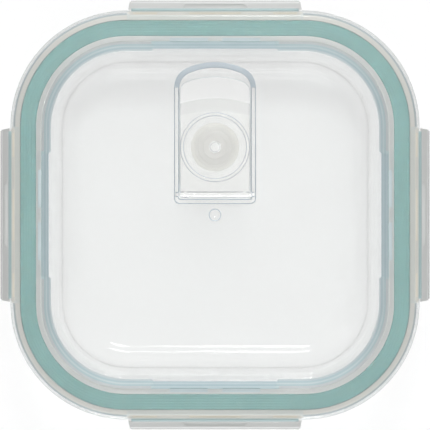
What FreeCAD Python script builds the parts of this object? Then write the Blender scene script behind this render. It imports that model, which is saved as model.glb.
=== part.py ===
import FreeCAD, Part
import math
import os

from FreeCAD import Vector

# Square glass food box with a four-latch lid and a flip-up steam vent.
# Millimetres. The origin is the centre of the foot, +Z is up and +Y points to the vent's finger end.
# A half width is measured from the middle of the box to the face, across the flats.

# Plan: every contour round the box is a rounded square, its corners turned about the same four centres
RIM_HALF = 77.0
RIM_CORNER_RADIUS = 43.8

# Glass base
GLASS_HEIGHT = 62.0
RIM_DEPTH = 6.0
RIM_WIDTH = 9.4
RIM_ROUND = 2.0
UNDER_RIM_ROUND = 2.5
MOUTH_ROUND = 1.4
WALL_TAPER = 10.6
GLASS_WALL = 4.5
FLOOR_THICKNESS = 5.0
FLOOR_ROUND = 10.0
FOOT_ROUND = 12.0
FOOT_RING_INSET = 15.0
FOOT_HOLLOW = 0.3
FOOT_SLOPE_RUN = 8.0

# Lid moulding
LID_SET_BACK = 1.3
LID_GLASS_GAP = 0.3
LID_MOUTH_GAP = 0.6
LID_ROOF = 1.6
LID_EDGE_ROUND = 1.2
SKIRT_THICKNESS = 2.4
SKIRT_ROUND = 0.4
CHANNEL_HEIGHT = 3.0
CHANNEL_ROUND = 0.3
RECESS_LAND = 1.8
RECESS_WALL_RUN = 3.5
RECESS_DEPTH = 7.0
RECESS_ROUND = 1.0
PANEL_THICKNESS = 1.6
PANEL_ROUND = 0.8
PANEL_UNDER_ROUND = 1.5
POCKET_END_MARGIN = 10.7
POCKET_SET_OUT = 0.9
POCKET_END_SLOPE = 1.2
LAND_STEP_WIDTH = 1.2
LAND_STEP_DEPTH = 0.8
LAND_RIB_WIDTH = 5.6
GATE_RADIUS = 2.4
GATE_DRAFT = 0.4
GATE_DEPTH = 0.4
GATE_NUB_RADIUS = 0.8
GATE_NUB_TAPER = 0.3
GATE_NUB_HEIGHT = 0.25
GATE_WELL_SPACING = 4.1

# Lid seal
SEAL_SIDE_GAP = 0.15
SEAL_BODY = 1.9
SEAL_GLASS_GAP = 0.1
SEAL_EDGE_ROUND = 0.6
SEAL_LIP_WIDTH = 0.9
SEAL_LIP_INSET = 0.2
SEAL_LIP_SPACING = 1.9

# Latches and their living hinges
HINGE_LID_OFFSET = 1.2
FILM_RADIUS = 0.25
FILM_THICKNESS = 0.4
FILM_LEG = 0.5
FILM_END_INSET = 1.2
FLANGE_DROP = 0.8
FLANGE_THICKNESS = 1.4
FLANGE_END_MARGIN = 0.4
FLANGE_REBATE = 0.7
FLANGE_ROOT = 1.5
FLANGE_CORNER = 0.9
WINDOW_DEPTH = 0.35
WINDOW_EDGE = 0.35
WINDOW_WIDTH = 0.7
WINDOW_END_INSET = 0.6
WINDOW_SIDE_LENGTH = 9.0
WINDOW_SPACING = 12.2
LATCH_CORNER_MARGIN = 0.6
LATCH_HEIGHT = 20.65
LATCH_LEDGE_WIDTH = 3.05
LATCH_LEDGE = 1.9
LATCH_PLATE = 1.9
LATCH_EDGE_ROUND = 0.7
LATCH_END_DRAFT = 0.9
LIP_REACH = 1.4
LIP_RISE = 5.0
LIP_THICKNESS = 1.7
LIP_ROUND = 0.7
LIP_BEND_ROUND = 4.0
LEDGE_POCKET_HALF_LENGTH = 11.0
LEDGE_POCKET_END_SLOPE = 1.2
LEDGE_POCKET_EDGE = 0.3
LEDGE_POCKET_WIDTH = 1.3
LEDGE_POCKET_DEPTH = 0.5
HOOK_GAP = 0.3
HOOK_HEIGHT = 2.2
HOOK_REACH = 1.5
HOOK_SLOPE = 0.7
HOOK_END_INSET = 5.6

# Steam vent: a well in the lid panel, a flap on pins and a silicone valve
WELL_HALF = 15.45
WELL_LENGTH = 53.5
WELL_EDGE_MARGIN = 4.1
WELL_ARCH_RADIUS = 26.0
WELL_SHOULDER_RADIUS = 8.0
WELL_FLOOR_CORNER = 0.2
WELL_WALL = 1.6
WELL_DRAFT = 0.4
WELL_DEPTH = 5.2
WELL_FLOOR = 1.5
FINGER_GAP = 3.9
FINGER_SLOPE_DEPTH = 3.0
FLAP_SIDE_GAP = 0.15
FLAP_DROP = 0.2
FLAP_THICKNESS = 1.6
FLAP_DRAFT = 0.25
FLAP_TIP_RADIUS = 32.0
FLAP_SHOULDER_RADIUS = 4.5
FLAP_HINGE_RADIUS = 1.2
FLAP_HINGE_GAP = 0.8
BARREL_END_INSET = 0.5
FLAP_PIN_RADIUS = 0.9
FLAP_PIN_GAP = 0.05
FLAP_PIN_ENGAGEMENT = 0.9
FLAP_PIN_END_GAP = 0.1
FLAP_RIB_INSET = 2.2
FLAP_RIB_WIDTH = 1.0
FLAP_RIB_HEIGHT = 1.1
FLAP_RIB_PAST_VENT = 11.9
THUMB_STEP = 0.3
THUMB_ARCS = ((13.1, 53.0), (8.1, 42.0))  # how far behind the tip each step starts, and its radius
VENT_HINGE_SPACING = 17.9
COLLAR_SIDE_GAP = 0.25
COLLAR_WALL = 1.5
COLLAR_DRAFT = 0.35
COLLAR_ROUND = 0.25
COLLAR_RIB_GAP = 0.5
VALVE_COLLAR_GAP = 2.6
VALVE_EDGE = 0.7
VALVE_RISE = 1.9
VALVE_CROWN_WIDTH = 2.7
VALVE_HOLE_RADIUS = 2.3
VALVE_NECK_WALL = 1.6
VALVE_NECK_GAP = 0.1
VALVE_LIP_WIDTH = 2.1
VALVE_LIP_THICKNESS = 1.4
VALVE_LIP_TAPER = 1.2
NUB_GAP = 0.3
NUB_TAPER = 0.4
NUB_ENTRY = 1.2

# Half widths, from the rim inwards
CORNER_CENTRE = RIM_HALF - RIM_CORNER_RADIUS
MOUTH_HALF = RIM_HALF - RIM_WIDTH
FLOOR_HALF = MOUTH_HALF - WALL_TAPER
LID_HALF = RIM_HALF - LID_SET_BACK
CHANNEL_OUTER_HALF = LID_HALF - SKIRT_THICKNESS
CHANNEL_INNER_HALF = MOUTH_HALF - LID_MOUTH_GAP
RECESS_HALF = CHANNEL_INNER_HALF - RECESS_LAND
PANEL_HALF = RECESS_HALF - RECESS_WALL_RUN

# Levels
GLASS_SLOPE = WALL_TAPER / (GLASS_HEIGHT - FLOOR_THICKNESS)
RIM_UNDERSIDE = GLASS_HEIGHT - RIM_DEPTH
CHANNEL_TOP = GLASS_HEIGHT + CHANNEL_HEIGHT
LID_TOP = CHANNEL_TOP + LID_ROOF
PANEL_TOP = LID_TOP - RECESS_DEPTH
PANEL_UNDERSIDE = PANEL_TOP - PANEL_THICKNESS
RECESS_SLOPE = RECESS_WALL_RUN / RECESS_DEPTH
FLANGE_TOP = LID_TOP - FLANGE_DROP
WELL_FLOOR_TOP = PANEL_TOP - WELL_DEPTH
WELL_UNDERSIDE = WELL_FLOOR_TOP - WELL_FLOOR
FLAP_TOP = PANEL_TOP - FLAP_DROP
FLAP_UNDERSIDE = FLAP_TOP - FLAP_THICKNESS
FLAP_RIB_UNDERSIDE = FLAP_UNDERSIDE - FLAP_RIB_HEIGHT
VALVE_TOP = WELL_FLOOR_TOP + VALVE_RISE

# Latch places: each latch takes the straight part of its side and shuts just outside the rim
HINGE_HALF = LID_HALF + HINGE_LID_OFFSET
HINGE_Z = FLANGE_TOP - FILM_THICKNESS - FILM_RADIUS
FLANGE_HALF = HINGE_HALF - FILM_LEG
LATCH_TOP = HINGE_Z - FILM_LEG
LATCH_BOTTOM = LATCH_TOP - LATCH_HEIGHT
LATCH_INNER_HALF = HINGE_HALF + FILM_RADIUS
LATCH_HALF = LATCH_INNER_HALF + LATCH_LEDGE_WIDTH
PLATE_INNER_HALF = LATCH_HALF - LATCH_PLATE
LATCH_HALF_LENGTH = CORNER_CENTRE - LATCH_CORNER_MARGIN
FLANGE_HALF_LENGTH = LATCH_HALF_LENGTH + FLANGE_END_MARGIN
FILM_HALF_LENGTH = LATCH_HALF_LENGTH - FILM_END_INSET
HOOK_HALF_LENGTH = LATCH_HALF_LENGTH - HOOK_END_INSET

# Vent places, from the panel's back edge
WELL_BACK = PANEL_HALF - WELL_EDGE_MARGIN
WELL_FRONT = WELL_BACK - WELL_LENGTH
WELL_INNER_HALF = WELL_HALF - WELL_WALL
WELL_FLOOR_HALF = WELL_INNER_HALF - WELL_DRAFT
FLAP_HALF = WELL_FLOOR_HALF - FLAP_SIDE_GAP
FLAP_TIP = WELL_BACK - WELL_WALL - FINGER_GAP
FLAP_HINGE_Y = WELL_FRONT + WELL_WALL + FLAP_HINGE_GAP + FLAP_HINGE_RADIUS
FLAP_HINGE_Z = FLAP_TOP - FLAP_HINGE_RADIUS
VENT_Y = FLAP_HINGE_Y + VENT_HINGE_SPACING
COLLAR_OUTER_RADIUS = WELL_FLOOR_HALF - COLLAR_SIDE_GAP
COLLAR_INNER_RADIUS = COLLAR_OUTER_RADIUS - COLLAR_WALL
VALVE_RADIUS = COLLAR_INNER_RADIUS - VALVE_COLLAR_GAP
VALVE_NECK_RADIUS = VALVE_HOLE_RADIUS + VALVE_NECK_WALL

UP = Vector(0, 0, 1)
ORIGIN = Vector(0, 0, 0)
SIDES = {"right": 0, "back": 90, "left": 180, "front": 270}
MARGIN = 1.0  # how far a cutting shape runs past what it cuts
TOUCHING = 1e-6  # two arcs this close meet with no line between them


def across(x, z):
    """A point of an upright section that looks along Y."""
    return Vector(x, 0, z)


def in_plan(x, y):
    """A point of a plan outline."""
    return Vector(x, y, 0)


def outline(corners, place):
    """Face inside straight lines through the corners (a, b, radius), each rounded by its radius."""
    starts, ends, edges = [], [], []
    for i, (a, b, radius) in enumerate(corners):
        here = place(a, b)
        before = place(*corners[i - 1][:2]) - here
        after = place(*corners[(i + 1) % len(corners)][:2]) - here
        before.normalize()
        after.normalize()
        half_angle = before.getAngle(after) / 2
        start = here + before * (radius / math.tan(half_angle))
        end = here + after * (radius / math.tan(half_angle))
        if radius > 0:
            inward = (before + after).normalize()
            middle = here + inward * (radius / math.sin(half_angle) - radius)
            edges.append(Part.Arc(start, middle, end).toShape())
        starts.append(start)
        ends.append(end)
    for i, end in enumerate(ends):
        start = starts[(i + 1) % len(starts)]
        if end.distanceToPoint(start) > TOUCHING:
            edges.append(Part.LineSegment(end, start).toShape())
    return Part.Face(Part.Wire(Part.__sortEdges__(edges)))


def round_the_box(corners, core=None):
    """Solid whose section (half width, z, radius) goes round the rounded square, with an optional core."""
    section = outline(corners, across)
    side = section.translated(Vector(0, -CORNER_CENTRE, 0)).extrude(Vector(0, 2 * CORNER_CENTRE, 0))
    turn_at = Vector(CORNER_CENTRE, CORNER_CENTRE, 0)
    corner = section.translated(Vector(0, CORNER_CENTRE, 0)).revolve(turn_at, UP, 90)
    pieces = [s.rotated(ORIGIN, UP, angle) for angle in SIDES.values() for s in (side, corner)]
    if core:
        low, high = core
        across_core = 2 * CORNER_CENTRE
        at = Vector(-CORNER_CENTRE, -CORNER_CENTRE, low)
        pieces.append(Part.makeBox(across_core, across_core, high - low, at))
    return pieces[0].multiFuse(pieces[1:]).removeSplitter()


def along_side(corners, half_length):
    """Straight bar along the right-hand side, with the section (half width, z, radius)."""
    section = outline(corners, across).translated(Vector(0, -half_length, 0))
    return section.extrude(Vector(0, 2 * half_length, 0))


def block(x, y, z):
    """Box between the (low, high) pairs x, y and z."""
    at = Vector(x[0], y[0], z[0])
    return Part.makeBox(x[1] - x[0], y[1] - y[0], z[1] - z[0], at)


def plan_block(corners, low, high):
    """Upright prism on the plan corners (x, y, radius)."""
    return outline(corners, in_plan).translated(Vector(0, 0, low)).extrude(Vector(0, 0, high - low))


def spun(corners, y):
    """Turned solid about the upright axis at (0, y), from the section (radius, z, corner radius)."""
    return outline(corners, across).revolve(ORIGIN, UP, 360).translated(Vector(0, y, 0))


def disc(radius, low, high, y):
    return Part.makeCylinder(radius, high - low, Vector(0, y, low))


def rod_along_x(radius, half_length, y, z):
    return Part.makeCylinder(radius, 2 * half_length, Vector(-half_length, y, z), Vector(1, 0, 0))


def arched_wire(half, front, back, arch_radius, shoulder_radius, front_radius, z):
    """Outline at a level, with a square front and a three-arc arch at the back."""
    arch_y = back - arch_radius
    shoulder_x = half - shoulder_radius
    shoulder_y = arch_y + shoulder_rise(half, arch_radius, shoulder_radius)
    lean = math.atan2(shoulder_x, shoulder_y - arch_y)
    corner = front_radius * (1 - math.sqrt(0.5))

    def on_arch(angle):
        return Vector(arch_radius * math.sin(angle), arch_y + arch_radius * math.cos(angle), z)

    def on_shoulder(angle):
        x = shoulder_x + shoulder_radius * math.sin(angle)
        return Vector(x, shoulder_y + shoulder_radius * math.cos(angle), z)

    def mirror(point):
        return Vector(-point.x, point.y, point.z)

    right = [
        Vector(half - front_radius, front, z),
        Vector(half - corner, front + corner, z),
        Vector(half, front + front_radius, z),
        on_shoulder(math.pi / 2),
        on_shoulder((math.pi / 2 + lean) / 2),
        on_arch(lean),
    ]
    left = [mirror(point) for point in right]
    edges = [
        Part.LineSegment(left[0], right[0]),
        Part.Arc(*right[0:3]),
        Part.LineSegment(right[2], right[3]),
        Part.Arc(*right[3:6]),
        Part.Arc(right[5], on_arch(0), left[5]),
        Part.Arc(*left[3:6][::-1]),
        Part.LineSegment(left[3], left[2]),
        Part.Arc(*left[0:3][::-1]),
    ]
    return Part.Wire([edge.toShape() for edge in edges])


def shoulder_rise(half, arch_radius, shoulder_radius):
    """How far an arch's shoulder centres lie behind the arch's own centre."""
    return math.sqrt((arch_radius - shoulder_radius) ** 2 - (half - shoulder_radius) ** 2)


def between(lower, upper):
    """Solid with straight sides from one outline to another like it at a higher level."""
    return Part.makeLoft([lower, upper], True, True)


def well_wire(inset, z):
    """The vent well's plan at a level, drawn in by inset."""
    return arched_wire(
        WELL_HALF - inset,
        WELL_FRONT + inset,
        WELL_BACK - inset,
        WELL_ARCH_RADIUS - inset,
        WELL_SHOULDER_RADIUS - inset,
        WELL_FLOOR_CORNER + WELL_DRAFT + WELL_WALL - inset,
        z,
    )


def flap_wire(inset, z):
    """The vent flap's plan at a level, drawn in by inset except at the hinge."""
    return arched_wire(
        FLAP_HALF - inset,
        FLAP_HINGE_Y,
        FLAP_TIP - inset,
        FLAP_TIP_RADIUS - inset,
        FLAP_SHOULDER_RADIUS - inset,
        FLAP_HINGE_RADIUS / 2,
        z,
    )


def glass_base():
    """Pressed glass box with a thick rim, sloping walls and a foot ring."""
    wall_at_foot = FLOOR_HALF + GLASS_WALL - GLASS_SLOPE * FLOOR_THICKNESS
    wall_at_rim = MOUTH_HALF + GLASS_WALL - GLASS_SLOPE * RIM_DEPTH
    ring_inside = wall_at_foot - FOOT_RING_INSET
    section = [
        (CORNER_CENTRE, FOOT_HOLLOW, 0),
        (ring_inside - FOOT_SLOPE_RUN, FOOT_HOLLOW, 0),
        (ring_inside, 0, 0),
        (wall_at_foot, 0, FOOT_ROUND),
        (wall_at_rim, RIM_UNDERSIDE, UNDER_RIM_ROUND),
        (RIM_HALF, RIM_UNDERSIDE, RIM_ROUND),
        (RIM_HALF, GLASS_HEIGHT, RIM_ROUND),
        (MOUTH_HALF, GLASS_HEIGHT, MOUTH_ROUND),
        (FLOOR_HALF, FLOOR_THICKNESS, FLOOR_ROUND),
        (CORNER_CENTRE, FLOOR_THICKNESS, 0),
    ]
    return round_the_box(section, core=(FOOT_HOLLOW, FLOOR_THICKNESS))


def lid_dish():
    """Rim with the seal channel, sloping recess wall and recessed panel."""
    skirt_end = GLASS_HEIGHT + LID_GLASS_GAP
    wall_foot = CHANNEL_INNER_HALF - RECESS_SLOPE * (CHANNEL_TOP - PANEL_UNDERSIDE)
    section = [
        (CORNER_CENTRE, PANEL_UNDERSIDE, 0),
        (wall_foot, PANEL_UNDERSIDE, PANEL_UNDER_ROUND),
        (CHANNEL_INNER_HALF, CHANNEL_TOP, CHANNEL_ROUND),
        (CHANNEL_OUTER_HALF, CHANNEL_TOP, CHANNEL_ROUND),
        (CHANNEL_OUTER_HALF, skirt_end, 0),
        (LID_HALF, skirt_end, SKIRT_ROUND),
        (LID_HALF, LID_TOP, LID_EDGE_ROUND),
        (RECESS_HALF, LID_TOP, RECESS_ROUND),
        (PANEL_HALF, PANEL_TOP, PANEL_ROUND),
        (CORNER_CENTRE, PANEL_TOP, 0),
    ]
    return round_the_box(section, core=(PANEL_UNDERSIDE, PANEL_TOP))


def side_pocket():
    """Wedge that steepens the recess wall in the middle of the right-hand side."""
    half_length = CORNER_CENTRE - POCKET_END_MARGIN
    wedge = along_side(
        [
            (PANEL_HALF - MARGIN, PANEL_TOP, 0),
            (PANEL_HALF + POCKET_SET_OUT, PANEL_TOP, 0),
            (RECESS_HALF, LID_TOP, 0),
            (PANEL_HALF - MARGIN, LID_TOP, 0),
        ],
        half_length + 2 * POCKET_END_SLOPE,
    )
    wide = half_length + POCKET_END_SLOPE
    plan = [
        (PANEL_HALF - MARGIN, -wide, 0),
        (PANEL_HALF, -wide, 0),
        (RECESS_HALF, -half_length, 0),
        (RECESS_HALF, half_length, 0),
        (PANEL_HALF, wide, 0),
        (PANEL_HALF - MARGIN, wide, 0),
    ]
    return wedge.common(plan_block(plan, PANEL_TOP, LID_TOP))


def land_steps():
    """Two shallow steps in the land over the right-hand pocket, with a rib between them and at each end."""
    start = LAND_RIB_WIDTH / 2
    end = CORNER_CENTRE - POCKET_END_MARGIN - LAND_RIB_WIDTH
    x = (RECESS_HALF - MARGIN, RECESS_HALF + LAND_STEP_WIDTH)
    z = (LID_TOP - LAND_STEP_DEPTH, LID_TOP + MARGIN)
    return [block(x, span, z) for span in ((-end, -start), (start, end))]


def hinge_flange():
    """Ledge on the right-hand side that carries a latch's living hinge."""
    plan = [
        (LID_HALF - FLANGE_ROOT, -FLANGE_HALF_LENGTH, 0),
        (FLANGE_HALF, -FLANGE_HALF_LENGTH, FLANGE_CORNER),
        (FLANGE_HALF, FLANGE_HALF_LENGTH, FLANGE_CORNER),
        (LID_HALF - FLANGE_ROOT, FLANGE_HALF_LENGTH, 0),
    ]
    return plan_block(plan, FLANGE_TOP - FLANGE_THICKNESS, FLANGE_TOP)


def flange_cuts():
    """Rebate over the right-hand flange and the three shallow windows in it."""
    rebate_end = FLANGE_HALF_LENGTH - FLANGE_CORNER
    rebate = block(
        (LID_HALF - FLANGE_REBATE, LID_HALF + MARGIN),
        (-rebate_end, rebate_end),
        (FLANGE_TOP, LID_TOP + MARGIN),
    )
    side_end = FILM_HALF_LENGTH - WINDOW_END_INSET
    side_start = side_end - WINDOW_SIDE_LENGTH
    middle_end = side_start - WINDOW_SPACING
    spans = [(-side_end, -side_start), (-middle_end, middle_end), (side_start, side_end)]
    window_x = (FLANGE_HALF - WINDOW_EDGE - WINDOW_WIDTH, FLANGE_HALF - WINDOW_EDGE)
    window_z = (FLANGE_TOP - WINDOW_DEPTH, FLANGE_TOP + MARGIN)
    return [rebate] + [block(window_x, span, window_z) for span in spans]


def well_outside():
    """The vent well as a solid, its outside drawn in towards its floor."""
    below = between(well_wire(WELL_DRAFT, WELL_UNDERSIDE), well_wire(0, PANEL_UNDERSIDE))
    return below.fuse(between(well_wire(0, PANEL_UNDERSIDE), well_wire(0, PANEL_TOP)))


def well_hollow():
    """The vent well's inside, drawn in towards its floor."""
    mouth = well_wire(WELL_WALL, PANEL_TOP)
    inside = between(well_wire(WELL_WALL + WELL_DRAFT, WELL_FLOOR_TOP), mouth)
    return inside.fuse(between(mouth, well_wire(WELL_WALL, PANEL_TOP + MARGIN)))


def finger_slope():
    """Slope round the well's arch, from the panel down to the well's wall."""
    rise = shoulder_rise(WELL_HALF, WELL_ARCH_RADIUS, WELL_SHOULDER_RADIUS)
    start = WELL_BACK - WELL_ARCH_RADIUS + rise
    low = PANEL_TOP - FINGER_SLOPE_DEPTH
    drawn_in = WELL_WALL + WELL_DRAFT * FINGER_SLOPE_DEPTH / WELL_DEPTH
    slope = between(well_wire(drawn_in, low), well_wire(0, PANEL_TOP))
    arch = block((-WELL_HALF, WELL_HALF), (start, WELL_BACK), (low, PANEL_TOP))
    return slope.common(arch)


def well_collar():
    """Low ring round the valve, on the well's floor."""
    top = FLAP_RIB_UNDERSIDE - COLLAR_RIB_GAP
    return spun(
        [
            (COLLAR_INNER_RADIUS, WELL_FLOOR_TOP, 0),
            (COLLAR_OUTER_RADIUS, WELL_FLOOR_TOP, 0),
            (COLLAR_OUTER_RADIUS - COLLAR_DRAFT, top, COLLAR_ROUND),
            (COLLAR_INNER_RADIUS + COLLAR_DRAFT, top, COLLAR_ROUND),
        ],
        VENT_Y,
    )


def gate_dimple():
    """Shallow round dimple of the moulding gate, round a low nub."""
    at = Vector(0, WELL_FRONT - GATE_WELL_SPACING, PANEL_TOP - GATE_DEPTH)
    dimple = Part.makeCone(GATE_RADIUS - GATE_DRAFT, GATE_RADIUS, GATE_DEPTH, at)
    nub = Part.makeCone(GATE_NUB_RADIUS, GATE_NUB_RADIUS - GATE_NUB_TAPER, GATE_NUB_HEIGHT, at)
    return dimple.cut(nub)


def lid_shell():
    """Lid moulding: dish, four hinge flanges, vent well with its collar, and pin bores."""
    neck_hole_radius = VALVE_NECK_RADIUS + VALVE_NECK_GAP
    neck_hole = disc(neck_hole_radius, WELL_UNDERSIDE - MARGIN, WELL_FLOOR_TOP + MARGIN, VENT_Y)
    bore_reach = WELL_INNER_HALF + FLAP_PIN_ENGAGEMENT + FLAP_PIN_END_GAP
    pin_bores = rod_along_x(FLAP_PIN_RADIUS + FLAP_PIN_GAP, bore_reach, FLAP_HINGE_Y, FLAP_HINGE_Z)
    flanges = [hinge_flange().rotated(ORIGIN, UP, angle) for angle in SIDES.values()]
    cuts = [
        cut.rotated(ORIGIN, UP, angle)
        for angle in SIDES.values()
        for cut in [side_pocket()] + land_steps() + flange_cuts()
    ]
    shell = lid_dish().multiFuse(flanges + [well_outside()])
    shell = shell.cut([well_hollow(), finger_slope()])
    shell = shell.fuse(well_collar())
    return shell.cut(cuts + [neck_hole, pin_bores, gate_dimple()]).removeSplitter()


def lid_seal():
    """Silicone ring in the lid's channel, with two lips that press on the glass rim."""
    inner = CHANNEL_INNER_HALF + SEAL_SIDE_GAP
    outer = CHANNEL_OUTER_HALF - SEAL_SIDE_GAP
    body_low = CHANNEL_TOP - SEAL_BODY
    lip_end = GLASS_HEIGHT + SEAL_GLASS_GAP
    outer_lip = outer - SEAL_EDGE_ROUND - SEAL_LIP_INSET
    inner_lip = outer_lip - SEAL_LIP_SPACING
    return round_the_box(
        [
            (inner, body_low, SEAL_EDGE_ROUND),
            (inner_lip - SEAL_LIP_WIDTH, body_low, 0),
            (inner_lip - SEAL_LIP_WIDTH, lip_end, 0),
            (inner_lip, lip_end, 0),
            (inner_lip, body_low, 0),
            (outer_lip - SEAL_LIP_WIDTH, body_low, 0),
            (outer_lip - SEAL_LIP_WIDTH, lip_end, 0),
            (outer_lip, lip_end, 0),
            (outer_lip, body_low, 0),
            (outer, body_low, SEAL_EDGE_ROUND),
            (outer, CHANNEL_TOP, SEAL_EDGE_ROUND),
            (inner, CHANNEL_TOP, SEAL_EDGE_ROUND),
        ]
    )


def latch():
    """Right-hand latch, shut: ledge at the hinge with a shallow pocket, plate and finger lip."""
    section = [
        (LATCH_INNER_HALF, LATCH_TOP, 0),
        (LATCH_INNER_HALF, LATCH_TOP - LATCH_LEDGE, 0),
        (PLATE_INNER_HALF, LATCH_TOP - LATCH_LEDGE - (PLATE_INNER_HALF - LATCH_INNER_HALF), 0),
        (PLATE_INNER_HALF, LATCH_BOTTOM + LIP_RISE, LIP_BEND_ROUND),
        (LATCH_HALF + LIP_REACH - LIP_THICKNESS, LATCH_BOTTOM, 0),
        (LATCH_HALF + LIP_REACH, LATCH_BOTTOM, LIP_ROUND),
        (LATCH_HALF, LATCH_BOTTOM + LIP_RISE, LIP_BEND_ROUND),
        (LATCH_HALF, LATCH_TOP, LATCH_EDGE_ROUND),
    ]
    bar = along_side(section, LATCH_HALF_LENGTH)
    tip_half = LATCH_HALF + LIP_REACH
    tip_length = LATCH_HALF_LENGTH - LATCH_END_DRAFT
    plan = [
        (LATCH_INNER_HALF, -LATCH_HALF_LENGTH, 0),
        (tip_half, -tip_length, 0),
        (tip_half, tip_length, 0),
        (LATCH_INNER_HALF, LATCH_HALF_LENGTH, 0),
    ]
    pocket_start = LATCH_INNER_HALF + FILM_THICKNESS + LEDGE_POCKET_EDGE
    pocket_end = pocket_start + LEDGE_POCKET_WIDTH
    wide = LEDGE_POCKET_HALF_LENGTH + LEDGE_POCKET_END_SLOPE
    pocket = [
        (pocket_start, -wide, 0),
        (pocket_end, -LEDGE_POCKET_HALF_LENGTH, 0),
        (pocket_end, LEDGE_POCKET_HALF_LENGTH, 0),
        (pocket_start, wide, 0),
    ]
    body = bar.common(plan_block(plan, LATCH_BOTTOM, LATCH_TOP))
    return body.cut(plan_block(pocket, LATCH_TOP - LEDGE_POCKET_DEPTH, LATCH_TOP + MARGIN))


def hinge_film():
    """Right-hand living hinge: a thin strip bent a quarter turn round the hinge axis."""
    outer_radius = FILM_RADIUS + FILM_THICKNESS

    def at(x, z):
        return across(HINGE_HALF + x, HINGE_Z + z)

    def bend(radius):
        halfway = radius * math.sqrt(0.5)
        return at(0, radius), at(halfway, halfway), at(radius, 0)

    edges = [
        Part.LineSegment(at(-FILM_LEG, FILM_RADIUS), at(0, FILM_RADIUS)),
        Part.Arc(*bend(FILM_RADIUS)),
        Part.LineSegment(at(FILM_RADIUS, 0), at(FILM_RADIUS, -FILM_LEG)),
        Part.LineSegment(at(FILM_RADIUS, -FILM_LEG), at(outer_radius, -FILM_LEG)),
        Part.LineSegment(at(outer_radius, -FILM_LEG), at(outer_radius, 0)),
        Part.Arc(*bend(outer_radius)[::-1]),
        Part.LineSegment(at(0, outer_radius), at(-FILM_LEG, outer_radius)),
        Part.LineSegment(at(-FILM_LEG, outer_radius), at(-FILM_LEG, FILM_RADIUS)),
    ]
    section = Part.Face(Part.Wire([edge.toShape() for edge in edges]))
    strip = section.translated(Vector(0, -FILM_HALF_LENGTH, 0))
    return strip.extrude(Vector(0, 2 * FILM_HALF_LENGTH, 0))


def latch_hook():
    """Right-hand snap rib on the latch's plate, just under the glass rim."""
    top = RIM_UNDERSIDE - HOOK_GAP
    tip = RIM_HALF - HOOK_REACH
    return along_side(
        [
            (PLATE_INNER_HALF, top, 0),
            (tip, top, 0),
            (tip, top - HOOK_HEIGHT + HOOK_SLOPE, 0),
            (tip + HOOK_SLOPE, top - HOOK_HEIGHT, 0),
            (PLATE_INNER_HALF, top - HOOK_HEIGHT, 0),
        ],
        HOOK_HALF_LENGTH,
    )


def vent_flap():
    """Flip-up flap on two stub pins, with thumb steps, ribs and the nub that shuts the valve."""
    plate = between(flap_wire(0, FLAP_UNDERSIDE), flap_wire(FLAP_DRAFT, FLAP_TOP))
    barrel_half = FLAP_HALF - BARREL_END_INSET
    barrel = rod_along_x(FLAP_HINGE_RADIUS, barrel_half, FLAP_HINGE_Y, FLAP_HINGE_Z)
    pin_reach = WELL_INNER_HALF + FLAP_PIN_ENGAGEMENT
    pins = rod_along_x(FLAP_PIN_RADIUS, pin_reach, FLAP_HINGE_Y, FLAP_HINGE_Z)
    rib_middle = FLAP_HALF - FLAP_RIB_INSET
    rib_x = (rib_middle - FLAP_RIB_WIDTH / 2, rib_middle + FLAP_RIB_WIDTH / 2)
    rib_y = (FLAP_HINGE_Y, VENT_Y + FLAP_RIB_PAST_VENT)
    right_rib = block(rib_x, rib_y, (FLAP_RIB_UNDERSIDE, FLAP_UNDERSIDE))
    left_rib = right_rib.mirror(ORIGIN, Vector(1, 0, 0))
    nub_length = FLAP_UNDERSIDE - VALVE_TOP + NUB_ENTRY
    nub_at = Vector(0, VENT_Y, FLAP_UNDERSIDE - nub_length)
    nub_radius = VALVE_HOLE_RADIUS - NUB_GAP
    nub = Part.makeCone(nub_radius - NUB_TAPER, nub_radius, nub_length, nub_at)
    flap = plate.multiFuse([barrel, pins, right_rib, left_rib, nub])
    for i, (setback, radius) in enumerate(THUMB_ARCS):
        low = FLAP_TOP - THUMB_STEP * (i + 1)
        centre_y = FLAP_TIP - setback - radius
        end = block(
            (-FLAP_HALF - MARGIN, FLAP_HALF + MARGIN),
            (VENT_Y, FLAP_TIP + MARGIN),
            (low, FLAP_TOP + MARGIN),
        )
        flap = flap.cut(end.cut(disc(radius, low, FLAP_TOP + MARGIN, centre_y)))
    return flap.removeSplitter()


def vent_valve():
    """Silicone grommet in the well's floor: domed disc above, neck through it and lip below."""
    lip_low = WELL_UNDERSIDE - VALVE_LIP_THICKNESS
    lip_radius = VALVE_NECK_RADIUS + VALVE_LIP_WIDTH
    crown_radius = VALVE_HOLE_RADIUS + VALVE_CROWN_WIDTH
    return spun(
        [
            (VALVE_HOLE_RADIUS, lip_low, 0),
            (lip_radius - VALVE_LIP_TAPER, lip_low, 0),
            (lip_radius, WELL_UNDERSIDE, 0),
            (VALVE_NECK_RADIUS, WELL_UNDERSIDE, 0),
            (VALVE_NECK_RADIUS, WELL_FLOOR_TOP, 0),
            (VALVE_RADIUS, WELL_FLOOR_TOP, 0),
            (VALVE_RADIUS, WELL_FLOOR_TOP + VALVE_EDGE, 0),
            (crown_radius, VALVE_TOP, 0),
            (VALVE_HOLE_RADIUS, VALVE_TOP, 0),
        ],
        VENT_Y,
    )


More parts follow.
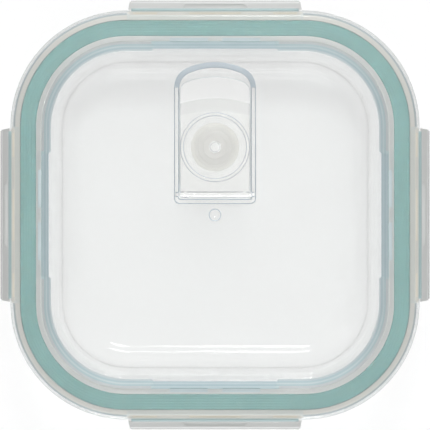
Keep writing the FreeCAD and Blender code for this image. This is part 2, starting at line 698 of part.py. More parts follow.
def main():
    os.makedirs("parts", exist_ok=True)
    parts = {
        "glass_base": glass_base(),
        "lid_shell": lid_shell(),
        "lid_seal": lid_seal(),
        "vent_flap": vent_flap(),
        "vent_valve": vent_valve(),
    }
    for side, angle in SIDES.items():
        parts[f"latch_{side}"] = latch().rotated(ORIGIN, UP, angle)
        parts[f"hinge_film_{side}"] = hinge_film().rotated(ORIGIN, UP, angle)
        parts[f"latch_hook_{side}"] = latch_hook().rotated(ORIGIN, UP, angle)
    for name, shape in parts.items():
        shape.exportStep(f"parts/{name}.step")
        print(name, "solids", len(shape.Solids), "valid", shape.isValid(), "mm3", round(shape.Volume))


main()
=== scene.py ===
import math

import bmesh
import bpy
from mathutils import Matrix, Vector


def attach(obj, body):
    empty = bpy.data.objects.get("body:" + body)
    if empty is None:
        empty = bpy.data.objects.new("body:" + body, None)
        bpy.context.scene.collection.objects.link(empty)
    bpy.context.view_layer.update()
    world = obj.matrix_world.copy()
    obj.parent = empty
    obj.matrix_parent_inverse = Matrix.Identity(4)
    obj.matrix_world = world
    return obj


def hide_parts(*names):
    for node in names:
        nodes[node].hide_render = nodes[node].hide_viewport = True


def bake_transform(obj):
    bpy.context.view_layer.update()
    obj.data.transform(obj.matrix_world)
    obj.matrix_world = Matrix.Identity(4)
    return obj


# Square glass food box with a latching lid and a steam vent, seen from straight above.
# Metres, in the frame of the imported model.

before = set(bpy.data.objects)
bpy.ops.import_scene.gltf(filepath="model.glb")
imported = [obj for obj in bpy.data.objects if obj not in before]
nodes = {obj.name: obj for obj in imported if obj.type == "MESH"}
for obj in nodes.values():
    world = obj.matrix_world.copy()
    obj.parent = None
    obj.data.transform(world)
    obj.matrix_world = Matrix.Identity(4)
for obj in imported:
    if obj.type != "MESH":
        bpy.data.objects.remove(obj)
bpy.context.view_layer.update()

MM = 0.001
SIDES = {"right": 0, "back": 90, "left": 180, "front": 270}

# Plan of the box: corner centres of every contour, and steps round each corner. FAR is above any height.
CORNER_CENTRE = 33.2 * MM
RIM_HALF = 77.0 * MM
CORNER_STEPS = 48
FAR = 10.0

# Steps round each rounded corner of a section
ROUND_STEPS = 6

# Lid seal: its body, a hair under the roof of the lid's channel, and its lips over the glass rim
SEAL_INNER = 67.15 * MM
SEAL_OUTER = 73.15 * MM
SEAL_TOP = 64.95 * MM
SEAL_BODY = 1.85 * MM
SEAL_LIP_END = 62.1 * MM
SEAL_LIP_OUTER_EDGES = (72.35 * MM, 70.45 * MM)
SEAL_LIP_WIDTH = 0.9 * MM
SEAL_ROUND = 0.5 * MM
SEAL_GROOVES = 5
SEAL_GROOVE_DEPTH = 0.06 * MM
SEAL_GROOVE_WIDTH = 0.5 * MM

# Vent valve, turned about the vent's axis: (radius, z, corner radius) in mm, with fine steps on its dome
VENT_Y = 25.6 * MM
VALVE_STEPS = 96
VALVE_SECTION = [
    (2.3, 51.5, 0.3),
    (4.8, 51.5, 0.3),
    (6.0, 52.9, 0.1),
    (3.9, 52.9, 0.0),
    (3.9, 54.4, 0.0),
    (9.1, 54.4, 0.1),
    (9.1, 55.1, 0.25),
    (7.8, 55.4, 0.1),
    (7.7, 55.6, 0.1),
    (6.5, 55.8, 0.1),
    (6.4, 55.95, 0.1),
    (4.6, 56.15, 0.1),
    (4.5, 56.3, 0.1),
    (2.3, 56.3, 0.25),
]

# Living hinges: a thin strip bent round each latch's axis
HINGE_HALF = 76.9 * MM
HINGE_Z = 65.15 * MM
FILM_RADIUS = 0.25 * MM
FILM_THICKNESS = 0.4 * MM
FILM_LEG = 0.5 * MM
FILM_HALF_LENGTH = 31.4 * MM
FILM_BEND_STEPS = 12
FILM_LENGTH_STEPS = 24

# Camera: the photograph's frame is this wide at the lid's top
CAMERA_HEIGHT = 2.0
VIEW_WIDTH = 161.3 * MM
LID_TOP = 66.6 * MM
SENSOR = 36.0

# Materials. PASSES is the tint of the lamp light that goes straight through, GLOSS the least and the most
# roughness, and WAVE the strength of a slow swell in the surface.
# A look is (red, green, blue, share of diffuse tone); the tone is haze, unless the look is marked as painted
# shade or a painted highlight.
NOISE_LOW = 0.3
NOISE_HIGH = 0.7
WAVE_HEIGHT = 1 * MM

# Pressed glass, with painted grey shade where its upper wall is seen edge-on
GLASS_TINT = (0.97, 0.975, 0.975, 1)
GLASS_PASSES = (0.93, 0.96, 0.955, 1)
GLASS_IOR = 1.5
GLASS_WAVE_SCALE = 55
GLASS_WAVE = 0.04
GLASS_EDGE_SHADE = (0.45, 0.47, 0.48, 1)
GLASS_EDGE_SHADE_SHARE = 0.3
GLASS_EDGE_FROM = 57 * MM

# Clear plastics seen edge-on: haze from the longer path through them, and painted blue-grey shade for the
# dark outlines at their edges
PLASTIC_IOR = 1.49
PLASTIC_FLOW_SCALE = 120
CLEAR_GLOSS = (0.03, 0.09)
CLEAR_PASSES = (0.9, 0.91, 0.905, 1)
EDGE_HAZE_AND_SHADE = (0.42, 0.5, 0.57, 1)
EDGE_HAZE_AND_SHADE_SHARE = 0.6
EDGE_FROM = 0.35
EDGE_FULL = 0.9

# A cloudy flat face is lit as if it leaned outwards, by up to TURN at the rim and less in a hollow
FLAT_FROM = 0.6
LID_TURN = 1.5
LATCH_TURN = 1.2
HOLLOW_TURN = 0.55

# Lid: its looks, mostly haze, with painted shade on the recess wall, finger slope and corner rim edge, and
# painted highlight stripes on the wall. The panel's and the slope's run towards FAR_OUT at BANDS_HIGH.
LID_TINT = (0.935, 0.93, 0.93, 1)
LID_WAVE_SCALE = 70
LID_WAVE = 0.03
PANEL = (0.9, 0.9, 0.89, 0.05)
FAR_OUT = (1, 1, 1, 1)
# The recess wall's blue-grey looks are painted shade, and its lighter stripes are painted highlights
WALL_SHADE = (0.39, 0.52, 0.525, 0.6)
WALL_HIGHLIGHT = (0.53, 0.65, 0.655, 0.6)
WALL_FOOT_SHADE = (0.52, 0.6, 0.605, 0.55)
WALL_TOP_SHADE = (0.5, 0.52, 0.51, 0.6)
STEP = (0.8, 0.88, 0.9, 0.65)
LAND = (0.8, 0.82, 0.8, 0.7)
OVER_SEAL = (0.85, 0.86, 0.85, 0.04)
RIM = (0.76, 0.82, 0.81, 0.6)
RIM_CORNER = (0.84, 0.84, 0.79, 0.6)
# The rim's outer edge band in the corners is painted shade
RIM_EDGE_SHADE = (0.4, 0.45, 0.46, 0.75)
FLANGE = (0.9, 0.9, 0.85, 0.65)
WINDOW = (0.87, 0.83, 0.73, 0.75)
# The finger slope's blue-grey is painted shade
SLOPE_SHADE = (0.46, 0.53, 0.59, 0.6)

# Lid: the half width from which each look holds, from the middle outwards
BANDS_LOW = 58 * MM
BANDS_HIGH = 80 * MM
BAND_BLUR = 0.006
WALL_TOP_FROM = 64.2 * MM
LAND_FROM = 65.2 * MM
OVER_SEAL_FROM = 67.1 * MM
RIM_FROM = 73.2 * MM
RIM_EDGE_FROM = 74.9 * MM
WALL_BANDS = [
    (BANDS_LOW, WALL_FOOT_SHADE),
    (62.4 * MM, WALL_SHADE),
    (63.1 * MM, WALL_HIGHLIGHT),
    (63.6 * MM, WALL_SHADE),
]
WALL_STRIPES = WALL_BANDS + [(64.3 * MM, WALL_HIGHLIGHT), (64.8 * MM, WALL_SHADE)]
LOW_BANDS = WALL_STRIPES + [(OVER_SEAL_FROM, OVER_SEAL), (RIM_FROM, WINDOW)]
STEP_BANDS = WALL_STRIPES + [(LAND_FROM, STEP), (OVER_SEAL_FROM, OVER_SEAL), (RIM_FROM, FLANGE)]
TOP_BANDS = WALL_STRIPES + [(LAND_FROM, LAND), (OVER_SEAL_FROM, OVER_SEAL), (RIM_FROM, RIM)]
WALL_CORNER_BANDS = WALL_BANDS + [(WALL_TOP_FROM, WALL_TOP_SHADE), (LAND_FROM, LAND)]
RIM_CORNER_BANDS = [(BANDS_LOW, OVER_SEAL), (RIM_FROM, RIM_CORNER), (RIM_EDGE_FROM, RIM_EDGE_SHADE)]

# Lid: the levels that part its looks, where pockets and flanges end, and how far the finger slope leans
PANEL_LEVEL = 59.8 * MM
LOW_LEVEL = 65.6 * MM
STEP_LEVEL = 66.2 * MM
POCKET_END = 24 * MM
FLANGE_END = 33.1 * MM
LEAN_FROM = 0.25
LEAN_TO = 0.72

# Flap: the level from which each look holds
FLAP_TINT = (0.985, 0.98, 0.98, 1)
FLAP_LOW = 57 * MM
FLAP_HIGH = 60 * MM
FLAP_EDGE_FROM = 57.5 * MM
FLAP_BANDS = [
    (FLAP_LOW, (0.95, 0.95, 0.94, 0.08)),
    # The darker band from here, the lowered arch at the thumb end, is painted shade
    (58.95 * MM, (0.57, 0.58, 0.56, 0.26)),
    (59.25 * MM, (0.64, 0.64, 0.61, 0.18)),
]

# Latches and their films
LATCH_TINT = (0.9, 0.905, 0.9, 1)
LATCH_PASSES = (0.7, 0.71, 0.7, 1)
LATCH_GLOSS = (0.1, 0.2)
LATCH_COLOUR = (0.79, 0.8, 0.79, 1)
LATCH_CLOUD = 0.75
# Latch edges: painted grey shade where they are seen edge-on
LATCH_EDGE_SHADE = (0.32, 0.33, 0.33, 1)
LATCH_POCKET_LEVEL = 64.4 * MM
# Films: a darker blue-grey, painted shade in each hinge's crease
FILM_CREASE_SHADE = (0.5, 0.64, 0.65, 1)
FILM_HAZE_AND_SHADE = 0.7

# Silicone of the seal and of the valve, whose looks hold from a radius
SILICONE_IOR = 1.42
SEAL_DARK = (0.108, 0.262, 0.247, 1)
SEAL_LIGHT = (0.125, 0.288, 0.272, 1)
SEAL_ROUGHNESS = 0.5
SEAL_GLOW = 0.15
SEAL_GLOW_DEPTH = 2 * MM
SEAL_MOTTLE_SCALE = 90
SEAL_GRAIN_SCALE = 2600
SEAL_GRAIN = 0.1
SEAL_GRAIN_HEIGHT = 0.1 * MM
VALVE_TINT = (0.86, 0.87, 0.86, 1)
VALVE_PASSES = (0.75, 0.76, 0.75, 1)
VALVE_GLOSS = (0.3, 0.42)
VALVE_MOTTLE_SCALE = 300
VALVE_REACH = 10 * MM
VALVE_BLUR = 0.04
VALVE_BANDS = [
    (0.0, (0.585, 0.575, 0.555, 0.7)),
    (4.6 * MM, (0.605, 0.595, 0.575, 0.64)),
    (6.6 * MM, (0.66, 0.65, 0.625, 0.54)),
    (7.8 * MM, (0.8, 0.785, 0.745, 0.44)),
]

# Studio: its brightness in a direction (x, y, z) is LEVEL + RIGHT x + BACK y - SIDES x x, and the soft cards
# low down in front and behind add up to ENDS more
STUDIO_LEVEL = 0.7
STUDIO_RIGHT = 0.05
STUDIO_BACK = 0.3
STUDIO_SIDES = 0.6
STUDIO_ENDS = 1.2
STUDIO_ENDS_FROM = 0.5
STUDIO_ENDS_FULL = 0.9

# Lamps: name, place, width and watts
LAMPS = [
    ("key", (0.05, 0.42, 1.1), 0.2, 3.6),
    ("fill", (-0.1, -1.1, 0.55), 1.2, 5.4),
]
LAMP_TARGET = (0, 0, 0.05)

# Floor, a hair under the foot. As the glass sees it, it is white under the box and grey farther off.
FLOOR_HALF = 3.0
FLOOR_Z = -0.2 * MM
FLOOR_COLOUR = (0.95, 0.95, 0.95, 1)
FLOOR_GLOW = 0.8
FLOOR_GLOW_THROUGH_GLASS = 0.7
FLOOR_WHITE_LEVEL = 0.74
FLOOR_WHITE_TO = 0.085
FLOOR_GREY_FROM = 0.14
FLOOR_GREY = 0.35


def mesh_piece(name, points, faces):
    """New smooth object from points and faces."""
    mesh = bpy.data.meshes.new(name)
    mesh.from_pydata(points, [], faces)
    shell = bmesh.new()
    shell.from_mesh(mesh)
    bmesh.ops.recalc_face_normals(shell, faces=shell.faces)
    shell.to_mesh(mesh)
    shell.free()
    for polygon in mesh.polygons:
        polygon.use_smooth = True
    piece = bpy.data.objects.new(name, mesh)
    bpy.context.scene.collection.objects.link(piece)
    return piece


def tube_faces(rings, across, closed=True):
    """Quads of a closed section of so many points, carried through so many rings that may close too."""
    return [
        (
            i * across + j,
            i * across + (j + 1) % across,
            (i + 1) % rings * across + (j + 1) % across,
            (i + 1) % rings * across + j,
        )
        for i in range(rings if closed else rings - 1)
        for j in range(across)
    ]


def rounded_section(corners):
    """Points of a closed section with corners (a, b, radius), each rounded by an arc."""
    points = []
    for i, (a, b, radius) in enumerate(corners):
        here = Vector((a, b))
        if radius == 0:
            points.append(here)
            continue
        before = (Vector(corners[i - 1][:2]) - here).normalized()
        after = (Vector(corners[(i + 1) % len(corners)][:2]) - here).normalized()
        half = before.angle(after) / 2
        centre = here + (before + after).normalized() * (radius / math.sin(half))
        first = here + before * (radius / math.tan(half)) - centre
        last = here + after * (radius / math.tan(half)) - centre
        sweep = math.pi - 2 * half
        for k in range(ROUND_STEPS + 1):
            share = k / ROUND_STEPS
            reach = math.sin((1 - share) * sweep) * first + math.sin(share * sweep) * last
            points.append(centre + reach / math.sin(sweep))
    return points


def round_the_box(name, section):
    """Closed ring whose section (half width, z) goes round the rounded square."""
    points = []
    for quarter in range(4):
        corner = math.radians(quarter * 90 + 45)
        centre_x = CORNER_CENTRE * math.sqrt(2) * math.cos(corner)
        centre_y = CORNER_CENTRE * math.sqrt(2) * math.sin(corner)
        for step in range(CORNER_STEPS + 1):
            angle = math.radians(quarter * 90 + 90 * step / CORNER_STEPS)
            for half, z in section:
                reach = half - CORNER_CENTRE
                points.append((centre_x + reach * math.cos(angle), centre_y + reach * math.sin(angle), z))
    return mesh_piece(name, points, tube_faces(4 * (CORNER_STEPS + 1), len(section)))


def turned(name, section, y):
    """Closed ring whose section (radius, z) turns about the upright axis at (0, y)."""
    points = []
    for step in range(VALVE_STEPS):
        angle = 2 * math.pi * step / VALVE_STEPS
        points += [(r * math.cos(angle), y + r * math.sin(angle), z) for r, z in section]
    return mesh_piece(name, points, tube_faces(VALVE_STEPS, len(section)))


class Shader:
    """Node tree of a material or of the world, built up by short calls that take sockets or constants."""

    def __init__(self, owner, output="ShaderNodeOutputMaterial"):
        owner.use_nodes = True
        self.owner = owner
        self.tree = owner.node_tree
        self.tree.nodes.clear()
        self.output = self.add(output)

    def add(self, kind, inputs=None, **values):
        """New node with these inputs fed and these properties set."""
        node = self.tree.nodes.new(kind)
        for key, value in values.items():
            setattr(node, key, value)
        for key, value in (inputs or {}).items():
            self.feed(node.inputs[key], value)
        return node

    def feed(self, target, value):
        """Link the target to a socket, or set it to a constant."""
        if isinstance(value, bpy.types.NodeSocket):
            self.tree.links.new(value, target)
        else:
            target.default_value = value

    def finish(self, shader):
        """Put the shader out and return the material or world."""
        self.feed(self.output.inputs["Surface"], shader.outputs[0])
        return self.owner

    def mixed(self, share, first, second):
        """The first shader with this share of the second in it."""
        return self.add("ShaderNodeMixShader", {0: share, 1: first.outputs[0], 2: second.outputs[0]})

    def worked(self, operation, *values):
        """Maths on numbers."""
        return self.add("ShaderNodeMath", dict(enumerate(values)), operation=operation).outputs[0]

    def vector(self, operation, *values):
        """Maths on vectors."""
        node = self.add("ShaderNodeVectorMath", dict(enumerate(values)), operation=operation)
        return node.outputs["Value" if operation == "LENGTH" else "Vector"]

    def split(self, vector):
        """The X, Y and Z of a vector."""
        return self.add("ShaderNodeSeparateXYZ", {0: vector}).outputs

    def both(self, first, second):
        """1 where both are 1, or the first in the share of the second."""
        return self.worked("MULTIPLY", first, second)

    def either(self, first, second):
        """The larger of two numbers."""
        return self.worked("MAXIMUM", first, second)

    def between(self, value, low, high, start=0.0, end=1.0, kind="LINEAR"):
        """The value's run from low to high drawn out from start to end."""
        limits = {"Value": value, "From Min": low, "From Max": high, "To Min": start, "To Max": end}
        return self.add("ShaderNodeMapRange", limits, interpolation_type=kind).outputs["Result"]

    def choose(self, factor, first, second, kind):
        """The first socket where the factor is 0 and the second where it is 1, of kind RGBA or FLOAT."""
        node = self.add("ShaderNodeMix", data_type=kind)
        targets = [socket for socket in node.inputs if socket.enabled]
        for target, value in zip(targets, (factor, first, second)):
            self.feed(target, value)
        return [socket for socket in node.outputs if socket.enabled][0]

    def ramp(self, source, stops):
        """Colour and alpha at positions from 0 to 1."""
        node = self.add("ShaderNodeValToRGB", {"Fac": source})
        elements = node.color_ramp.elements
        while len(elements) < len(stops):
            elements.new(0.5)
        for element, (place, look) in zip(elements, stops):
            element.position = place
            element.color = look
        return node.outputs["Color"], node.outputs["Alpha"]

    def place(self):
        """Where the surface is, in its object's frame."""
        return self.add("ShaderNodeTexCoord").outputs["Object"]

    def geometry(self, kind):
        """A fact about the surface, such as its Normal."""
        return self.add("ShaderNodeNewGeometry").outputs[kind]

    def ray(self, kind):
        """1 for rays of this kind, else 0."""
        return self.add("ShaderNodeLightPath").outputs[kind]

    def noise(self, scale, detail):
        """Soft noise in space."""
        inputs = {"Vector": self.place(), "Scale": scale, "Detail": detail}
        return self.add("ShaderNodeTexNoise", inputs).outputs["Fac"]

    def gloss(self, scale, detail, limits):
        """Uneven roughness: the usual range of noise drawn out between the limits."""
        return self.between(self.noise(scale, detail), NOISE_LOW, NOISE_HIGH, *limits)

    def bump(self, height, strength, distance):
        """Normal of a surface with this height on it."""
        inputs = {"Height": height, "Strength": strength, "Distance": distance}
        return self.add("ShaderNodeBump", inputs).outputs["Normal"]

    def waves(self, scale, strength):
        """Normal of a slightly wavy surface."""
        return self.bump(self.noise(scale, detail=1.0), strength, WAVE_HEIGHT)

    def past_corners(self):
        """Vector from the nearest point inside the four corner centres to the surface, in plan."""
        place = self.place()
        size = self.vector("ABSOLUTE", place)
        reach = self.vector("SUBTRACT", size, (CORNER_CENTRE, CORNER_CENTRE, FAR))
        reach = self.vector("MAXIMUM", reach, (0, 0, 0))
        return self.vector("MULTIPLY", reach, self.vector("SIGN", place))

    def half_width(self):
        """How far the surface is out from the middle, as a ramp position."""
        length = self.vector("LENGTH", self.past_corners())
        return self.between(length, BANDS_LOW - CORNER_CENTRE, BANDS_HIGH - CORNER_CENTRE)

    def height(self):
        """How high the surface is."""
        return self.split(self.place())["Z"]

    def above(self, level):
        """1 above the level, else 0."""
        return self.worked("GREATER_THAN", self.height(), level)

    def below(self, level):
        """1 below the level, else 0."""
        return self.worked("LESS_THAN", self.height(), level)

    def upright(self):
        """1 where the surface faces straight up, 0 where it is a wall and -1 where it faces down."""
        return self.split(self.geometry("Normal"))["Z"]

    def leaning(self):
        """1 where the surface slopes up, neither flat nor a wall, else 0."""
        upright = self.upright()
        from_wall = self.worked("GREATER_THAN", upright, LEAN_FROM)
        return self.both(from_wall, self.worked("LESS_THAN", upright, LEAN_TO))

    def in_corners(self, start):
        """1 where the surface lies farther than start from both middle lines of the plan, else 0."""
        place = self.split(self.place())
        across = self.worked("ABSOLUTE", place["X"])
        along = self.worked("ABSOLUTE", place["Y"])
        return self.worked("GREATER_THAN", self.worked("MINIMUM", across, along), start)

    def edge_on(self, most):
        """0 where the surface faces the eye, up to most where it is seen edge-on."""
        facing = self.add("ShaderNodeLayerWeight").outputs["Facing"]
        return self.between(facing, EDGE_FROM, EDGE_FULL, 0.0, most)

    def side_normal(self, most, hollow):
        """Normal turned outwards on flat faces, as light that has come in from the side leaves a cloudy edge.

        It turns less in a hollow, where that number is 1.
        """
        rim = RIM_HALF - CORNER_CENTRE
        outward = self.add(
            "ShaderNodeVectorTransform",
            {0: self.vector("DIVIDE", self.past_corners(), (rim, rim, rim))},
            vector_type="VECTOR",
            convert_from="OBJECT",
            convert_to="WORLD",
        )
        turn = self.between(self.upright(), FLAT_FROM, 1.0, 0.0, most)
        turn = self.both(turn, self.between(hollow, 0.0, 1.0, 1.0, HOLLOW_TURN))
        lean = self.vector("MULTIPLY", outward.outputs[0], turn)
        return self.vector("NORMALIZE", self.vector("ADD", self.geometry("Normal"), lean))

    def haze_and_shade(self, clear, colour, share, turn=0.0, hollow=0.0):
        """A clear shader with a share of diffuse tone in it, which is haze in some looks and painted shade or
        a painted highlight in others, lit as if flat faces leaned outwards by up to turn.
        """
        inputs = {"Color": colour, "Normal": self.side_normal(turn, hollow)}
        return self.mixed(share, clear, self.add("ShaderNodeBsdfDiffuse", inputs))

    def lets_lamps_through(self, shader, tint):
        """Shadow rays pass straight through in this tint, so that the lamps reach what is inside."""
        clear = self.add("ShaderNodeBsdfTransparent", {"Color": tint})
        return self.mixed(self.ray("Is Shadow Ray"), shader, clear)


def ramp_position(place, low, high):
    """Where a place lies between low and high, from 0 to 1."""
    return (place - low) / (high - low)


def bands(edges, low, high, blur=BAND_BLUR):
    """Ramp stops from (place, look), each look held up to the next place."""
    stops = []
    for place, look in edges:
        position = ramp_position(place, low, high)
        if stops:
            stops.append((position - blur, stops[-1][1]))
        stops.append((position + blur, look))
    return stops


def pressed_glass():
    """Clear, slightly wavy glass, with painted grey shade where its upper wall is seen edge-on."""
    shader = Shader(bpy.data.materials.new("pressed_glass"))
    glass = shader.add(
        "ShaderNodeBsdfPrincipled",
        {
            "Base Color": GLASS_TINT,
            "IOR": GLASS_IOR,
            "Transmission Weight": 1.0,
            "Roughness": 0.0,
            "Normal": shader.waves(GLASS_WAVE_SCALE, GLASS_WAVE),
        },
    )
    # Painted grey shade where the upper wall is seen edge-on
    edge = shader.both(shader.edge_on(GLASS_EDGE_SHADE_SHARE), shader.above(GLASS_EDGE_FROM))
    edged = shader.haze_and_shade(glass, GLASS_EDGE_SHADE, edge)
    return shader.finish(shader.lets_lamps_through(edged, GLASS_PASSES))


def clear_plastic(shader, tint, gloss):
    """Clear moulded plastic with slightly uneven gloss."""
    return shader.add(
        "ShaderNodeBsdfPrincipled",
        {
            "Base Color": tint,
            "IOR": PLASTIC_IOR,
            "Transmission Weight": 1.0,
            "Roughness": shader.gloss(PLASTIC_FLOW_SCALE, detail=2.0, limits=gloss),
        },
    )


def lid_plastic():
    """Clear panel; the rim and the land are cloudy, the recess wall carries painted shade with painted
    highlight stripes, and the finger slope and the rim's outer edge in the corners carry painted shade.
    """
    shader = Shader(bpy.data.materials.new("lid_plastic"))
    plastic = clear_plastic(shader, LID_TINT, CLEAR_GLOSS)
    shader.feed(plastic.inputs["Normal"], shader.waves(LID_WAVE_SCALE, LID_WAVE))
    out = shader.half_width()
    seal_position = ramp_position(OVER_SEAL_FROM, BANDS_LOW, BANDS_HIGH)
    inside_seal = shader.worked("LESS_THAN", out, seal_position)
    outside_seal = shader.worked("GREATER_THAN", out, seal_position)
    on_panel = shader.below(PANEL_LEVEL)

    def lid_bands(edges):
        return bands(edges, BANDS_LOW, BANDS_HIGH)

    # Bands of haze, with painted shade and painted highlight stripes on the recess wall
    colour, tone_share = shader.ramp(out, lid_bands(LOW_BANDS))
    for where, stops in (
        (shader.above(LOW_LEVEL), lid_bands(STEP_BANDS)),
        (shader.above(STEP_LEVEL), lid_bands(TOP_BANDS)),
        (shader.both(shader.in_corners(POCKET_END), inside_seal), lid_bands(WALL_CORNER_BANDS)),
        # Painted shade on the rim's outer edge in the corners
        (shader.both(shader.in_corners(FLANGE_END), outside_seal), lid_bands(RIM_CORNER_BANDS)),
        (on_panel, [(BAND_BLUR, PANEL), (1.0, FAR_OUT)]),
        # Painted shade on the finger slope
        (shader.both(on_panel, shader.leaning()), [(BAND_BLUR, SLOPE_SHADE), (1.0, FAR_OUT)]),
    ):
        there_colour, there_tone_share = shader.ramp(out, stops)
        colour = shader.choose(where, colour, there_colour, "RGBA")
        tone_share = shader.choose(where, tone_share, there_tone_share, "FLOAT")
    steps = shader.both(inside_seal, shader.below(STEP_LEVEL))
    hollow = shader.either(steps, shader.below(LOW_LEVEL))
    toned = shader.haze_and_shade(plastic, colour, tone_share, LID_TURN, hollow)
    # Haze and painted blue-grey shade where faces are seen edge-on
    edged = shader.haze_and_shade(toned, EDGE_HAZE_AND_SHADE, shader.edge_on(EDGE_HAZE_AND_SHADE_SHARE), LID_TURN)
    return shader.finish(shader.lets_lamps_through(edged, CLEAR_PASSES))


def flap_plastic():
    """Clear, with haze by level, a darker arched band of painted shade at the thumb end, and haze and painted
    blue-grey shade on its upright edges.
    """
    shader = Shader(bpy.data.materials.new("flap_plastic"))
    plastic = clear_plastic(shader, FLAP_TINT, CLEAR_GLOSS)
    level = shader.between(shader.height(), FLAP_LOW, FLAP_HIGH)
    colour, tone_share = shader.ramp(level, bands(FLAP_BANDS, FLAP_LOW, FLAP_HIGH))
    toned = shader.haze_and_shade(plastic, colour, tone_share)
    # Haze and painted blue-grey shade where faces are seen edge-on
    edge = shader.both(shader.edge_on(EDGE_HAZE_AND_SHADE_SHARE), shader.above(FLAP_EDGE_FROM))
    edged = shader.haze_and_shade(toned, EDGE_HAZE_AND_SHADE, edge)
    return shader.finish(shader.lets_lamps_through(edged, CLEAR_PASSES))


def latch_plastic(name, colour, tone_share):
    """Milky plastic, with painted grey shade on its edges where they are seen edge-on."""
    shader = Shader(bpy.data.materials.new(name))
    plastic = clear_plastic(shader, LATCH_TINT, LATCH_GLOSS)
    toned = shader.haze_and_shade(plastic, colour, tone_share, LATCH_TURN, shader.below(LATCH_POCKET_LEVEL))
    # Painted grey shade on edges seen edge-on
    edged = shader.haze_and_shade(toned, LATCH_EDGE_SHADE, shader.edge_on(EDGE_HAZE_AND_SHADE_SHARE))
    return shader.finish(shader.lets_lamps_through(edged, LATCH_PASSES))


def teal_silicone():
    """Soft matt rubber with a fine grain."""
    shader = Shader(bpy.data.materials.new("teal_silicone"))
    mottle = shader.noise(SEAL_MOTTLE_SCALE, detail=4.0)
    colour, _ = shader.ramp(mottle, [(NOISE_LOW, SEAL_DARK), (NOISE_HIGH, SEAL_LIGHT)])
    grain = shader.noise(SEAL_GRAIN_SCALE, detail=2.0)
    rubber = shader.add(
        "ShaderNodeBsdfPrincipled",
        {
            "Base Color": colour,
            "IOR": SILICONE_IOR,
            "Roughness": SEAL_ROUGHNESS,
            "Subsurface Weight": SEAL_GLOW,
            "Subsurface Scale": SEAL_GLOW_DEPTH,
            "Normal": shader.bump(grain, SEAL_GRAIN, SEAL_GRAIN_HEIGHT),
        },
    )
    return shader.finish(rubber)


def milky_silicone():
    """Valve silicone, greyer in the middle than at its edge."""
    shader = Shader(bpy.data.materials.new("milky_silicone"))
    rubber = shader.add(
        "ShaderNodeBsdfPrincipled",
        {
            "Base Color": VALVE_TINT,
            "IOR": SILICONE_IOR,
            "Transmission Weight": 1.0,
            "Roughness": shader.gloss(VALVE_MOTTLE_SCALE, detail=3.0, limits=VALVE_GLOSS),
        },
    )
    from_axis = shader.vector("SUBTRACT", shader.place(), (0, VENT_Y, 0))
    radius = shader.vector("LENGTH", shader.vector("MULTIPLY", from_axis, (1, 1, 0)))
    out = shader.between(radius, 0.0, VALVE_REACH)
    colour, tone_share = shader.ramp(out, bands(VALVE_BANDS, 0.0, VALVE_REACH, VALVE_BLUR))
    toned = shader.haze_and_shade(rubber, colour, tone_share)
    return shader.finish(shader.lets_lamps_through(toned, VALVE_PASSES))


def show(obj, material):
    """Give the object this material alone."""
    obj.data.materials.clear()
    obj.data.materials.append(material)


def lid_seal():
    """Teal ring in the lid's channel, with shallow mould grooves on top and two lips below."""
    low = SEAL_TOP - SEAL_BODY
    corners = [(SEAL_INNER, low, SEAL_ROUND)]
    for outer in reversed(SEAL_LIP_OUTER_EDGES):
        corners += [
            (outer - SEAL_LIP_WIDTH, low, 0),
            (outer - SEAL_LIP_WIDTH, SEAL_LIP_END, SEAL_LIP_WIDTH / 3),
            (outer, SEAL_LIP_END, SEAL_LIP_WIDTH / 3),
            (outer, low, 0),
        ]
    corners += [(SEAL_OUTER, low, SEAL_ROUND), (SEAL_OUTER, SEAL_TOP, SEAL_ROUND)]
    width = SEAL_OUTER - SEAL_INNER
    for i in reversed(range(SEAL_GROOVES)):
        middle = SEAL_INNER + width * (i + 1) / (SEAL_GROOVES + 1)
        corners += [
            (middle + SEAL_GROOVE_WIDTH / 2, SEAL_TOP, 0),
            (middle, SEAL_TOP - SEAL_GROOVE_DEPTH, 0),
            (middle - SEAL_GROOVE_WIDTH / 2, SEAL_TOP, 0),
        ]
    corners += [(SEAL_INNER, SEAL_TOP, SEAL_ROUND)]
    seal = round_the_box("seal_ring", rounded_section(corners))
    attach(seal, "lid")
    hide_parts("lid_seal")
    return seal


def vent_valve():
    """Silicone grommet in the vent well's floor."""
    section = rounded_section([(r * MM, z * MM, corner * MM) for r, z, corner in VALVE_SECTION])
    valve = turned("valve_grommet", section, VENT_Y)
    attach(valve, "lid")
    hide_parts("vent_valve")
    return valve


def film_section():
    """Section of a hinge film round its bend: points (outwards, up) from the hinge's axis."""
    lines = []
    for radius in (FILM_RADIUS, FILM_RADIUS + FILM_THICKNESS):
        line = [(-FILM_LEG, radius)]
        for step in range(FILM_BEND_STEPS + 1):
            angle = math.pi / 2 * (1 - step / FILM_BEND_STEPS)
            line.append((radius * math.cos(angle), radius * math.sin(angle)))
        line.append((radius, -FILM_LEG))
        lines.append(line)
    inner_line, outer_line = lines
    return inner_line + outer_line[::-1]


def hinge_film(side, degrees):
    """Thin strip from the lid's flange over the bend to the latch, set at this side's turn."""
    turn = math.radians(degrees)

    def at(x, z, along=0.0):
        """Point so far outwards and up from the hinge's axis, and along it from its middle."""
        out = HINGE_HALF + x
        return (
            out * math.cos(turn) - along * math.sin(turn),
            out * math.sin(turn) + along * math.cos(turn),
            HINGE_Z + z,
        )

    section = film_section()
    points = []
    for step in range(FILM_LENGTH_STEPS + 1):
        along = FILM_HALF_LENGTH * (2 * step / FILM_LENGTH_STEPS - 1)
        points += [at(x, z, along) for x, z in section]
    across = len(section)
    faces = tube_faces(FILM_LENGTH_STEPS + 1, across, closed=False)
    faces += [tuple(range(across)), tuple(range(len(points) - across, len(points)))]
    film = mesh_piece(f"film_{side}", points, faces)
    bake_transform(film)
    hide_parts(f"hinge_film_{side}")
    return film


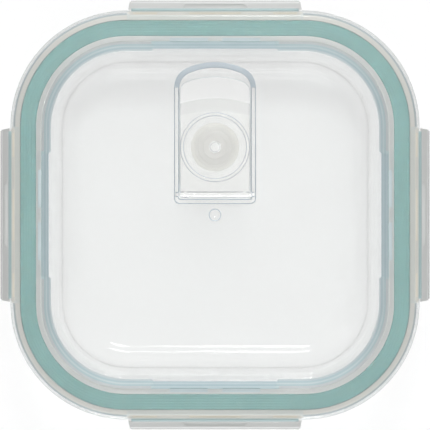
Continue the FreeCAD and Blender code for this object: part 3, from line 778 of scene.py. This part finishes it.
def studio_world():
    """White to sight, also in and through glass, and for light a soft studio with darker sides."""
    world = bpy.data.worlds.new("studio")
    bpy.context.scene.world = world
    shader = Shader(world, "ShaderNodeOutputWorld")
    direction = shader.split(shader.add("ShaderNodeTexCoord").outputs["Generated"])
    x, y = direction["X"], direction["Y"]
    to_ends = shader.worked("ABSOLUTE", y)
    cards = shader.between(to_ends, STUDIO_ENDS_FROM, STUDIO_ENDS_FULL, kind="SMOOTHSTEP")
    level = STUDIO_LEVEL
    for amount, weight in (
        (x, STUDIO_RIGHT),
        (y, STUDIO_BACK),
        (shader.worked("MULTIPLY", x, x), -STUDIO_SIDES),
        (cards, STUDIO_ENDS),
    ):
        level = shader.worked("MULTIPLY_ADD", amount, weight, level)
    studio = shader.add("ShaderNodeBackground", {"Color": level})
    white = shader.add("ShaderNodeBackground", {"Color": (1, 1, 1, 1)})
    by_glass = shader.either(shader.ray("Is Glossy Ray"), shader.ray("Is Transmission Ray"))
    seen = shader.either(by_glass, shader.ray("Is Camera Ray"))
    shader.finish(shader.mixed(seen, studio, white))


def floor():
    """Pale floor under the foot: mostly white to sight, with a share that takes the box's shadow.

    It can be seen through from below, so that the foot shows.
    """
    signs = ((-1, -1), (1, -1), (1, 1), (-1, 1))
    plane = mesh_piece("floor", [(x * FLOOR_HALF, y * FLOOR_HALF, 0) for x, y in signs], [(0, 1, 2, 3)])
    plane.location.z = FLOOR_Z
    shader = Shader(bpy.data.materials.new("floor"))
    distance = shader.vector("LENGTH", shader.place())
    level = shader.between(distance, FLOOR_WHITE_TO, FLOOR_GREY_FROM, FLOOR_WHITE_LEVEL, FLOOR_GREY)
    by_eye = shader.ray("Is Camera Ray")
    by_glass = shader.either(shader.ray("Is Glossy Ray"), shader.ray("Is Transmission Ray"))
    share = shader.either(
        shader.worked("MULTIPLY", by_eye, FLOOR_GLOW),
        shader.worked("MULTIPLY", by_glass, FLOOR_GLOW_THROUGH_GLASS),
    )
    matt = shader.add("ShaderNodeBsdfDiffuse", {"Color": FLOOR_COLOUR})
    white = shader.add("ShaderNodeEmission", {"Strength": shader.either(by_eye, level)})
    clear = shader.add("ShaderNodeBsdfTransparent")
    one_sided = shader.mixed(shader.geometry("Backfacing"), shader.mixed(share, matt, white), clear)
    show(plane, shader.finish(one_sided))


def lamp(name, place, size, watts):
    """Round area lamp aimed at the box."""
    data = bpy.data.lights.new(name, "AREA")
    data.shape = "DISK"
    data.size = size
    data.energy = watts
    light = bpy.data.objects.new(name, data)
    light.location = place
    light.rotation_euler = (Vector(LAMP_TARGET) - Vector(place)).to_track_quat("-Z", "Y").to_euler()
    bpy.context.scene.collection.objects.link(light)


def camera():
    """Straight above the box, with the lid's top as wide in the frame as in the photograph."""
    data = bpy.data.cameras.new("camera")
    data.sensor_width = SENSOR
    data.lens = SENSOR * (CAMERA_HEIGHT - LID_TOP) / VIEW_WIDTH
    eye = bpy.data.objects.new("camera", data)
    eye.location = (0, 0, CAMERA_HEIGHT)
    bpy.context.scene.collection.objects.link(eye)
    bpy.context.scene.camera = eye


glass = pressed_glass()
lid = lid_plastic()
flap = flap_plastic()
latch = latch_plastic("latch_plastic", LATCH_COLOUR, LATCH_CLOUD)
# Hinge films, milky plastic painted darker as shade in the hinge's crease
film = latch_plastic("film_plastic", FILM_CREASE_SHADE, FILM_HAZE_AND_SHADE)
teal = teal_silicone()
valve = milky_silicone()

show(nodes["glass_base"], glass)
show(nodes["lid_shell"], lid)
show(nodes["vent_flap"], flap)
show(vent_valve(), valve)
show(lid_seal(), teal)
for side, degrees in SIDES.items():
    show(nodes[f"latch_{side}"], latch)
    show(nodes[f"latch_hook_{side}"], latch)
    show(hinge_film(side, degrees), film)

studio_world()
floor()
for name, place, size, watts in LAMPS:
    lamp(name, place, size, watts)
camera()
bpy.context.scene.view_settings.view_transform = "Standard"
